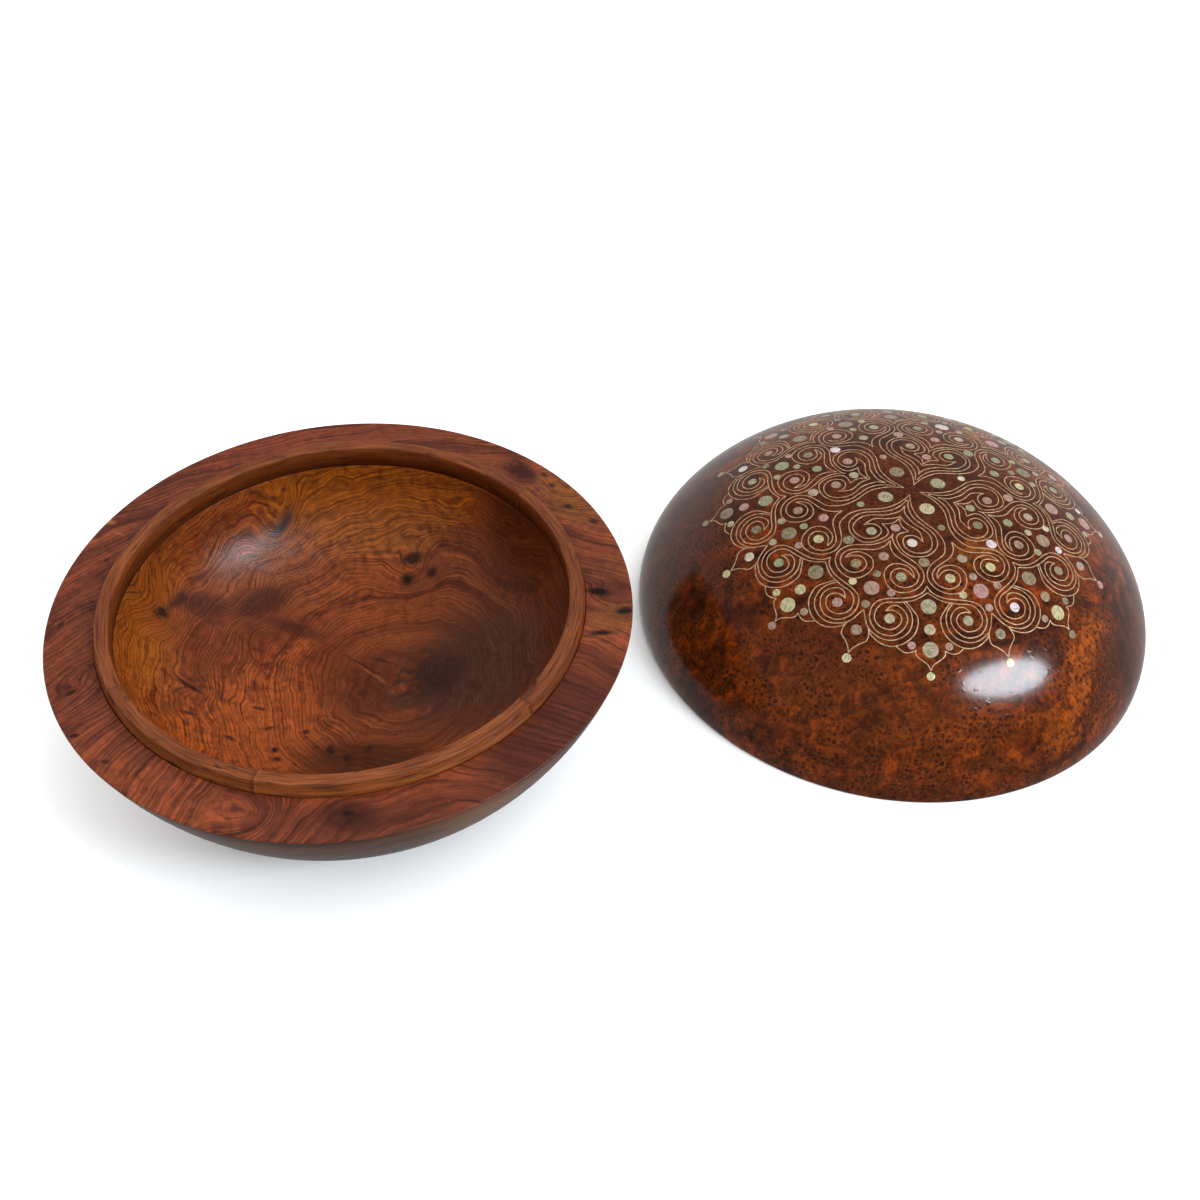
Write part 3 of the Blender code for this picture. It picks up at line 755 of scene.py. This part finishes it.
OGEE_POINT = [(7.0, 95.5), (7.2, 97.0), (6.1, 98.5), (4.1, 99.8), (1.8, 101.2), (0.6, 102.6), (0.0, 103.9)]

# The leaf between two bands, right half: x across, y outwards along a small axis.
LEAF_OGEE = [
    (0.0, 82.2), (1.1, 84.1), (3.3, 87.8), (5.5, 90.2), (6.5, 92.8), (6.6, 94.4), (6.1, 95.7),
    (4.6, 96.8), (3.1, 98.0), (1.3, 99.9), (0.0, 102.1)]

# Shell discs with no solid of their own: (name, axes, radius, degrees off the axis, diameter).
SMALL_SHELLS = (
    ("petal_beads", PETAL_BEARINGS, 30.1, (0.0,), 4.0),
    ("small_axis_shells", SMALL_BEARINGS, 51.3, (0.0,), 5.2),
    ("big_axis_shells", BIG_BEARINGS, 51.1, (0.0,), 5.6),
    ("scroll_eyes", SMALL_BEARINGS, 61.0, (-11.0, 11.0), 5.3),
    ("scroll_beads", SMALL_BEARINGS, 62.4, (0.0,), 4.1),
    ("notch_beads", SMALL_BEARINGS, 70.7, (-8.0, 8.0), 4.1),
    ("root_beads", SMALL_BEARINGS, 79.4, (0.0,), 4.2),
    ("leaf_shells", SMALL_BEARINGS, 92.1, (0.0,), 5.4),
    ("leaf_drops", SMALL_BEARINGS, 104.4, (0.0,), 4.6),
    ("band_eyes", BIG_BEARINGS, 83.4, (-13.3, 13.3), 5.2),
    ("stack_shells", BIG_BEARINGS, 86.5, (0.0,), 5.6),
    ("cusp_beads", BIG_BEARINGS, 94.0, (-5.55, 5.55), 4.0),
)


def across_big_axis(points):
    """A lyre's path mirrored in the big axis, 22.5 degrees to its right: the angle off the lyre's own
    axis becomes 45 degrees less that angle."""
    p = np.asarray(points)
    radius, angle = np.hypot(p[:, 0], p[:, 1]), math.pi / 4 - np.arctan2(p[:, 0], p[:, 1])
    return list(zip(radius * np.sin(angle), radius * np.cos(angle)))


LYRE_WIRES = (
    OUTER_STEM + across_big_axis(OUTER_SCROLL[4:]), INNER_STEM, HEART, LEAF_OUTSIDE, LEAF_INSIDE,
    OUTER_SCROLL, INNER_SCROLL, across_big_axis(INNER_SCROLL))
BAND_WIRES = (BAND_OUTER, BAND_INNER, CRESCENT_INNER, CRESCENT_OUTER, OGEE_SHOULDER, OGEE_POINT)


# Step along a wire in millimetres, and how many curve points lie between two chosen ones.
WIRE_STEP = 0.75
CURVE_POINTS = 24


def mirrored(points):
    """The same path on the other side of its axis."""
    return [(-x, y) for x, y in points]


def smooth_path(points, spacing):
    """A Catmull-Rom curve through the points, read at even steps of about that spacing."""
    p = np.asarray(points, float)
    p = np.concatenate([2 * p[:1] - p[1:2], p, 2 * p[-1:] - p[-2:-1]])
    t = np.linspace(0, 1, CURVE_POINTS, endpoint=False)[None, :, None]
    a, b, c, d = (p[i:len(p) - 3 + i, None, :] for i in range(4))
    curve = 0.5 * (2 * b + (c - a) * t + (2 * a - 5 * b + 4 * c - d) * t ** 2
                   + (3 * b - a - 3 * c + d) * t ** 3)
    curve = np.concatenate([curve.reshape(-1, 2), p[-2:-1]])
    length = np.concatenate([[0], np.cumsum(np.linalg.norm(np.diff(curve, axis=0), axis=1))])
    count = max(3, int(round(length[-1] / spacing)) + 1)
    at = np.linspace(0, length[-1], count)
    return np.stack([np.interp(at, length, curve[:, 0]), np.interp(at, length, curve[:, 1])], 1)


def wire_on_dome(path, bearing, sizes):
    """A wire with a low crowned section carried along a plan path on the dome: points and quads."""
    plan = rotate(path[:, ::-1] * MM, bearing + INLAY_TURN)
    points, normal = on_dome(plan)
    along = np.gradient(points, axis=0)
    side = np.cross(normal, along)
    side /= np.linalg.norm(side, axis=1, keepdims=True)
    half, stand, depth = sizes.wire_width / 2, sizes.wire_stand, sizes.inlay_depth
    section = np.array([
        (-half, -0.01 * MM), (-half * 0.55, stand * 0.8), (0.0, stand), (half * 0.55, stand * 0.8),
        (half, -0.01 * MM), (half * 0.8, -depth), (-half * 0.8, -depth)])
    body = (points[:, None] + section[None, :, :1] * side[:, None] + section[None, :, 1:] * normal[:, None])
    return body.reshape(-1, 3), grid_quads(len(path), len(section), closed_columns=True), len(section)


def wires_piece(name, paths, sizes):
    """One piece of several wires, each a list of plan points in millimetres and its bearing."""
    points, quads, triangles, start = [], [], [], 0
    for path, bearing in paths:
        body, faces, sides = wire_on_dome(smooth_path(path, WIRE_STEP), bearing, sizes)
        fan = np.array([(0, i, i + 1) for i in range(1, sides - 1)])
        last = len(body) - sides
        points.append(body)
        quads.append(faces + start)
        triangles.append(fan + start)
        triangles.append(fan[:, ::-1] + start + last)
        start += len(body)
    return make_piece(name, np.concatenate(points), np.concatenate(quads), np.concatenate(triangles),
                      [material_named("filed_wire", wire_material)])


def shell_disc(plan_centre, diameter, turn, sizes, sides=28):
    """A shell disc let into the dome: a flat top with a worn edge, carried on rings about its centre and
    dropped on the dome, with a bottom below the wood. Returns points, quads, triangles and its own UV."""
    outward = plan_centre / max(float(np.hypot(*plan_centre)), 1e-6)
    across = np.array([-outward[1], outward[0]])
    _, slope = dome_height(np.array([np.hypot(*plan_centre)]))
    foreshortening = 1 / math.sqrt(1 + float(slope[0]) ** 2)
    radius = diameter / 2
    # rings from the top's centre outwards and down: share of the radius and height over the wood
    bottom_lift = -sizes.inlay_depth / sizes.disc_stand
    rings = ((0.55, 1.0), (0.93, 1.0), (0.985, 0.55), (1.0, -1.0), (1.0, bottom_lift))
    angle = np.arange(sides) * 2 * math.pi / sides
    circle = np.stack([np.cos(angle), np.sin(angle)], 1)
    local = np.concatenate([share * circle for share, _ in rings] + [[(0, 0)], [(0, 0)]]) * radius
    lift = np.concatenate([np.repeat([h for _, h in rings], sides), [1.0, bottom_lift]]) * sizes.disc_stand
    plan = plan_centre + local[:, :1] * outward * foreshortening + local[:, 1:] * across
    points, normal = on_dome(plan)
    quads = grid_quads(len(rings), sides, closed_columns=True)
    column = np.arange(sides)
    following = (column + 1) % sides
    top, bottom, last = len(points) - 2, len(points) - 1, (len(rings) - 1) * sides
    triangles = np.concatenate([
        np.stack([np.full(sides, top), following, column], 1),
        np.stack([np.full(sides, bottom), last + column, last + following], 1)])
    return points + normal * lift[:, None], quads, triangles, rotate(local, turn)


def disc_diameter(low, high):
    """The diameter of a frame disc that lies in the dome: its widest side, as its box can't be wider."""
    return max(high.x - low.x, high.y - low.y)


def shells_piece(name, discs, sizes, seed):
    """One piece of shell discs, each (plan centre, diameter). Every disc is cut from another bit of shell,
    so its layers lie another way and its colour shifts."""
    chance = np.random.default_rng(seed)
    points, quads, triangles, uv, shade, start = [], [], [], [], [], 0
    for centre, diameter in discs:
        body, faces, fans, local = shell_disc(np.asarray(centre), diameter, chance.uniform(0, 360), sizes)
        points.append(body)
        quads.append(faces + start)
        triangles.append(fans + start)
        uv.append(local + chance.uniform(0, 5, 2))
        shade.append(np.full(len(body), chance.uniform()))
        start += len(body)
    piece = make_piece(name, np.concatenate(points), np.concatenate(quads), np.concatenate(triangles),
                       [material_named("polished_shell", shell_material)], uv=np.concatenate(uv))
    attribute = piece.data.attributes.new("shell_shade", "FLOAT", "POINT")
    attribute.data.foreach_set("value", np.concatenate(shade).astype(np.float32))
    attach(piece, "lid")
    return piece


# ---------------------------------------------------------------------------------------------
# Operators


# The lamps about the lid, in degrees: bearing, height over the floor, and how wide a sun spreads.
OVERHEAD_PLACE = (90.0, 84.0, 150.0)
KEY_PLACE = (18.0, 58.0, 60.0)
SUN_DISTANCE = 3.0
# The window's bearing, height, distance in metres and lean, and its width and height in metres.
WINDOW_PLACE = (-36.0, 36.0, 1.5, -30.0)
WINDOW_SIZE = (0.92, 0.38)
# The pale wall fades out at this height, as the sine of its elevation, and lies towards this bearing.
WALL_TOP = 0.75
WALL_FACING = (-0.20, 0.98, 0.0)


class BOWL_OT_turn_bowl(bpy.types.Operator):
    """Makes the bowl's turned body"""

    bl_idname = "burl_bowl.turn_bowl"
    bl_label = "Turn the bowl"

    def execute(self, context):
        sizes = context.scene.bowl_sizes
        radius, height = (BOWL_HIGH.x - BOWL_LOW.x) / 2, BOWL_HIGH.z
        seat = sizes.hollow_radius + sizes.lip_width + sizes.piece_gap
        floor = LIP_SEAT_Z - sizes.piece_gap
        round_ = sizes.edge_round
        foot = np.linspace(0, sizes.foot_radius - 4 * HAIR, 12)
        outside = wall_outline(sizes.foot_radius, radius, height)
        outside = outside[(outside[:, 1] > HAIR) & (outside[:, 1] < height - round_ * 0.9)]
        edge = corner_arc((radius - round_, height - round_), round_, 0, 90)
        flange = np.linspace(radius - round_ - 2 * MM, seat + 6 * HAIR, 10)
        hollow = hollow_outline(sizes.hollow_radius, height, sizes.floor_thickness)
        hollow = hollow[hollow[:, 1] < floor - 4 * HAIR]
        mouth = hollow[0, 0]
        parts = [
            (np.stack([foot, np.zeros_like(foot)], 1), 0),
            (outside, 0), (edge, 1),
            (np.stack([flange, np.full_like(flange, height)], 1), 1),
            (corner_arc((seat + 3 * HAIR, height - 3 * HAIR), 3 * HAIR, 90, 180, 4), 1),
            (np.array([(seat, height - 2 * MM), (seat, floor + 2 * HAIR), (seat - 2 * HAIR, floor)]), 1),
            (np.array([(seat - 3 * MM, floor), (mouth + 3 * HAIR, floor), (mouth + HAIR, floor - HAIR),
                       (mouth + HAIR / 2, floor - 2 * HAIR)]), 2),
            (hollow, 2)]
        outline = np.concatenate([part for part, _ in parts])
        outline[-1, 0] = 0.0
        bands = np.concatenate([np.full(len(part), band) for part, band in parts])
        piece = turned_body("turned_bowl", outline, (0.0, 0.0), 320, [
            material_named("polished_burl_outside", bowl_outside_material),
            material_named("oiled_burl_flange", flange_material),
            material_named("waxed_burl_inside", bowl_inside_material)], bands)
        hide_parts("bowl_base")
        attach(piece, "bowl")
        return {"FINISHED"}


class BOWL_OT_seat_lip(bpy.types.Operator):
    """Makes the segments of the lip ring that locates the lid"""

    bl_idname = "burl_bowl.seat_lip"
    bl_label = "Seat the lip ring"

    def execute(self, context):
        sizes = context.scene.bowl_sizes
        outer, top = sizes.hollow_radius + sizes.lip_width, LIP_TOP
        hollow = hollow_outline(sizes.hollow_radius, BOWL_HIGH.z, sizes.floor_thickness)[::-1]
        inner = float(np.interp(LIP_SEAT_Z, hollow[:, 1], hollow[:, 0])) - HAIR
        round_ = sizes.lip_round
        shoulder = BOWL_HIGH.z + 1.2 * MM
        section = np.concatenate([
            [(inner, LIP_SEAT_Z), (outer, LIP_SEAT_Z), (outer, BOWL_HIGH.z), (outer, shoulder),
             (outer - 4 * HAIR, shoulder + 3 * HAIR)],
            corner_arc((outer - sizes.lip_taper - round_, top - round_), round_, 0, 90, 5),
            corner_arc((inner + round_, top - round_), round_, 90, 180, 5)])
        around = np.concatenate([[0], np.cumsum(np.linalg.norm(np.diff(section, axis=0), axis=1))])
        gap = math.degrees(sizes.piece_gap / outer) * 0.1
        for n, name in enumerate(LIP_NAMES):
            start, end = LIP_JOINTS[n] + gap, LIP_JOINTS[(n + 1) % len(LIP_JOINTS)] - gap
            end += 360 if end < start else 0
            steps = max(8, int((end - start) * 0.9))
            angle = np.radians(np.linspace(start, end, steps))
            x = section[None, :, 0] * np.cos(angle)[:, None]
            y = section[None, :, 0] * np.sin(angle)[:, None]
            z = np.broadcast_to(section[None, :, 1], x.shape)
            points = np.stack([x, y, z], -1).reshape(-1, 3)
            count = len(section)
            quads = grid_quads(steps, count, closed_columns=True)
            fan = np.array([(0, i, i + 1) for i in range(1, count - 1)])
            triangles = np.concatenate([fan, fan[:, ::-1] + (steps - 1) * count])
            uv = np.stack([np.repeat(angle * inner, count), np.tile(around, steps)], 1) + n * LIP_CUT_STEP
            piece = make_piece(name.replace("segment", "arc"), points, quads, triangles,
                               [material_named("rubbed_lip_wood", lip_material)], uv=uv)
            shade = piece.data.attributes.new("segment_shade", "FLOAT", "POINT")
            shade.data.foreach_set("value", np.full(len(points), LIP_SHADES[n], np.float32))
            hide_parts(name)
            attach(piece, "bowl")
        return {"FINISHED"}


class BOWL_OT_turn_lid(bpy.types.Operator):
    """Makes the lid's turned body"""

    bl_idname = "burl_bowl.turn_lid"
    bl_label = "Turn the lid"

    def execute(self, context):
        sizes = context.scene.bowl_sizes
        radius, height = (LID_HIGH.x - LID_LOW.x) / 2, LID_HIGH.z
        rebate = sizes.hollow_radius + sizes.lip_width + sizes.lid_fit_gap
        round_ = sizes.edge_round
        outside = dome_outline(radius, height)
        outside = outside[outside[:, 1] > round_ * 1.1]
        edge = corner_arc((radius - round_, round_), round_, 0, -90)
        rim = np.linspace(radius - round_ - 2 * MM, rebate + 5 * HAIR, 6)
        hollow = hollow_outline(sizes.hollow_radius, 0.0, height - sizes.crown_thickness)
        hollow = hollow[hollow[:, 1] > sizes.lid_rebate_depth + 4 * HAIR]
        outline = np.concatenate([
            outside, edge, np.stack([rim, np.zeros_like(rim)], 1),
            corner_arc((rebate + 3 * HAIR, 3 * HAIR), 3 * HAIR, -90, -180, 4),
            [(rebate, sizes.lid_rebate_depth - 2 * HAIR), (rebate - 2 * HAIR, sizes.lid_rebate_depth),
             (hollow[0, 0] + 4 * HAIR, sizes.lid_rebate_depth)], hollow])
        outline[0, 0] = outline[-1, 0] = 0.0
        piece = turned_body("turned_lid", outline, LID_CENTRE, 320,
                            [material_named("polished_burl_lid", lid_material)])
        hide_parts("lid_dome")
        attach(piece, "lid")
        return {"FINISHED"}


class BOWL_OT_set_shells(bpy.types.Operator):
    """Sets the shell discs: those of the frame, and the small ones between the wires"""

    bl_idname = "burl_bowl.set_shells"
    bl_label = "Set the shell discs"

    def execute(self, context):
        sizes = context.scene.bowl_sizes
        for n, name in enumerate(SHELL_NODES):
            low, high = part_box(name)
            centre = np.array([(low.x + high.x) / 2, (low.y + high.y) / 2]) - LID_CENTRE
            piece = shells_piece(f"shell_{name}", [(centre, disc_diameter(low, high))], sizes, n)
            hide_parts(name)
        for n, (name, bearings, radius, offsets, diameter) in enumerate(SMALL_SHELLS):
            discs = [(rotate(np.array([radius * MM, 0.0]), bearing + offset + INLAY_TURN), diameter * MM)
                     for bearing in bearings for offset in offsets]
            shells_piece(name, discs, sizes, 100 + n)
        return {"FINISHED"}


class BOWL_OT_lay_wires(bpy.types.Operator):
    """Lays the scrolls of wire on the dome"""

    bl_idname = "burl_bowl.lay_wires"
    bl_label = "Lay the wires"

    def execute(self, context):
        sizes = context.scene.bowl_sizes
        groups = [("lyre_wires", LYRE_BEARINGS, LYRE_WIRES), ("band_wires", BIG_BEARINGS, BAND_WIRES),
                  ("leaf_wires", SMALL_BEARINGS, (LEAF_OGEE,))]
        for name, bearings, halves in groups:
            for n, bearing in enumerate(bearings, 1):
                paths = [(path, bearing) for half in halves for path in (half, mirrored(half))]
                piece = wires_piece(f"{name}_{n}", paths, sizes)
                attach(piece, "lid")
        return {"FINISHED"}


class BOWL_OT_set_stage(bpy.types.Operator):
    """Makes the floor, the lights and the camera"""

    bl_idname = "burl_bowl.set_stage"
    bl_label = "Set the stage"

    def execute(self, context):
        stage = context.scene.bowl_stage
        self.lay_floor(context, stage)
        self.hang_lights(context, stage)
        self.wrap_world(context, stage)
        self.place_camera(context, stage)
        return {"FINISHED"}

    def lay_floor(self, context, stage):
        """A matt pale sheet that the bowl and the lid stand on. It shows in no polish, so that the gloss
        mirrors the dim room and the undersides stay dark."""
        material, _, shader, _ = new_material("pale_floor", roughness=0.9, specular_ior_level=0.0)
        shader.inputs["Base Color"].default_value = linear(stage.floor_colour)
        half = stage.floor_size / 2
        mesh = bpy.data.meshes.new("floor")
        mesh.from_pydata([(-half, -half, 0), (half, -half, 0), (half, half, 0), (-half, half, 0)], [],
                         [(0, 1, 2, 3)])
        mesh.materials.append(material)
        floor = bpy.data.objects.new("floor", mesh)
        context.scene.collection.objects.link(floor)
        floor.visible_glossy = False

    def hang_lights(self, context, stage):
        """Two wide soft suns that light everything evenly and show in no polish, and the window, whose
        reflection is the bright patch on the lid and in the bowl."""
        for name, (bearing, height, spread), strength in (
                ("overhead", OVERHEAD_PLACE, stage.overhead_light), ("key", KEY_PLACE, stage.key_light)):
            light = bpy.data.lights.new(name, "SUN")
            light.energy, light.angle = strength, math.radians(spread)
            self.hang(context, light, bearing, height, SUN_DISTANCE).visible_glossy = False
        light = bpy.data.lights.new("window", "AREA")
        light.shape, (light.size, light.size_y) = "ELLIPSE", WINDOW_SIZE
        light.energy, light.color = stage.window_light, (0.80, 0.92, 1.0)
        self.hang(context, light, *WINDOW_PLACE)

    def hang(self, context, light, bearing, height, distance, lean=0.0):
        """A lamp at that bearing and height about the lid, pointed at it and leaning by so many degrees."""
        a, e = math.radians(bearing), math.radians(height)
        back = Vector((math.cos(a) * math.cos(e), math.sin(a) * math.cos(e), math.sin(e)))
        lamp = bpy.data.objects.new(light.name, light)
        lamp.location = Vector((*LID_CENTRE, LID_HIGH.z / 2)) + back * distance
        lamp.rotation_mode = "QUATERNION"
        leaning = Quaternion((0, 0, 1), math.radians(lean))
        lamp.rotation_quaternion = back.to_track_quat("Z", "Y") @ leaning
        context.scene.collection.objects.link(lamp)
        return lamp

    def wrap_world(self, context, stage):
        """A dim room with a pale wall low at the back, darker with height and towards the front."""
        world = bpy.data.worlds.new("studio")
        world.use_nodes = True
        tree = world.node_tree
        look = add_node(tree, "ShaderNodeTexCoord").outputs["Generated"]
        height = add_node(tree, "ShaderNodeSeparateXYZ", look).outputs["Z"]
        low = add_node(tree, RANGE, height, 0.0, WALL_TOP, 1.0, 0.0, interpolation_type="SMOOTHSTEP")
        facing = add_node(tree, VECTOR_MATH, look, WALL_FACING, operation="DOT_PRODUCT")
        behind = add_node(tree, RANGE, facing, -0.8, 0.7, interpolation_type="SMOOTHSTEP")
        wall = add_node(tree, MATH, low, behind, operation="MULTIPLY")
        light = add_node(tree, RANGE, wall, 0.0, 1.0, stage.room_light, stage.wall_light)
        tree.nodes["Background"].inputs["Color"].default_value = (1.0, 1.0, 1.0, 1.0)
        tree.links.new(light.outputs["Result"], tree.nodes["Background"].inputs["Strength"])
        context.scene.world = world
        context.scene.view_settings.view_transform = "Standard"

    def place_camera(self, context, stage):
        """A camera that looks down towards +Y, leaning a little."""
        pitch, roll = stage.camera_pitch, stage.camera_roll
        forward = Vector((0, math.cos(pitch), -math.sin(pitch)))
        right, up = Vector((1, 0, 0)), Vector((0, math.sin(pitch), math.cos(pitch)))
        axis_x = math.cos(roll) * right + math.sin(roll) * up
        axis_y = -math.sin(roll) * right + math.cos(roll) * up
        camera = bpy.data.objects.new("camera", bpy.data.cameras.new("camera"))
        camera.matrix_world = Matrix.Translation(stage.camera_place) @ Matrix(
            (axis_x, axis_y, -forward)).transposed().to_4x4()
        camera.data.lens, camera.data.sensor_width = stage.camera_lens, 36.0
        context.scene.collection.objects.link(camera)
        context.scene.camera = camera


class BOWL_PT_sidebar(bpy.types.Panel):
    """Lists the bowl's pieces and settings"""

    bl_label = "Burl bowl"
    bl_idname = "BOWL_PT_sidebar"
    bl_space_type = "VIEW_3D"
    bl_region_type = "UI"
    bl_category = "Burl bowl"

    def draw(self, context):
        for operator in OPERATORS:
            self.layout.operator(operator.bl_idname)
        for group in (context.scene.bowl_sizes, context.scene.bowl_colours, context.scene.bowl_stage):
            box = self.layout.box()
            for name in group.__annotations__:
                box.prop(group, name)


OPERATORS = (BOWL_OT_turn_bowl, BOWL_OT_seat_lip, BOWL_OT_turn_lid, BOWL_OT_set_shells, BOWL_OT_lay_wires,
             BOWL_OT_set_stage)
CLASSES = (BowlSizes, BowlColours, StageSettings, *OPERATORS, BOWL_PT_sidebar)


def register():
    for cls in CLASSES:
        bpy.utils.register_class(cls)
    bpy.types.Scene.bowl_sizes = bpy.props.PointerProperty(type=BowlSizes)
    bpy.types.Scene.bowl_colours = bpy.props.PointerProperty(type=BowlColours)
    bpy.types.Scene.bowl_stage = bpy.props.PointerProperty(type=StageSettings)


def unregister():
    del bpy.types.Scene.bowl_sizes, bpy.types.Scene.bowl_colours, bpy.types.Scene.bowl_stage
    for cls in reversed(CLASSES):
        bpy.utils.unregister_class(cls)


def main():
    register()
    bpy.ops.burl_bowl.turn_bowl()
    bpy.ops.burl_bowl.seat_lip()
    bpy.ops.burl_bowl.turn_lid()
    bpy.ops.burl_bowl.set_shells()
    bpy.ops.burl_bowl.lay_wires()
    bpy.ops.burl_bowl.set_stage()


if __name__ == "__main__":
    main()
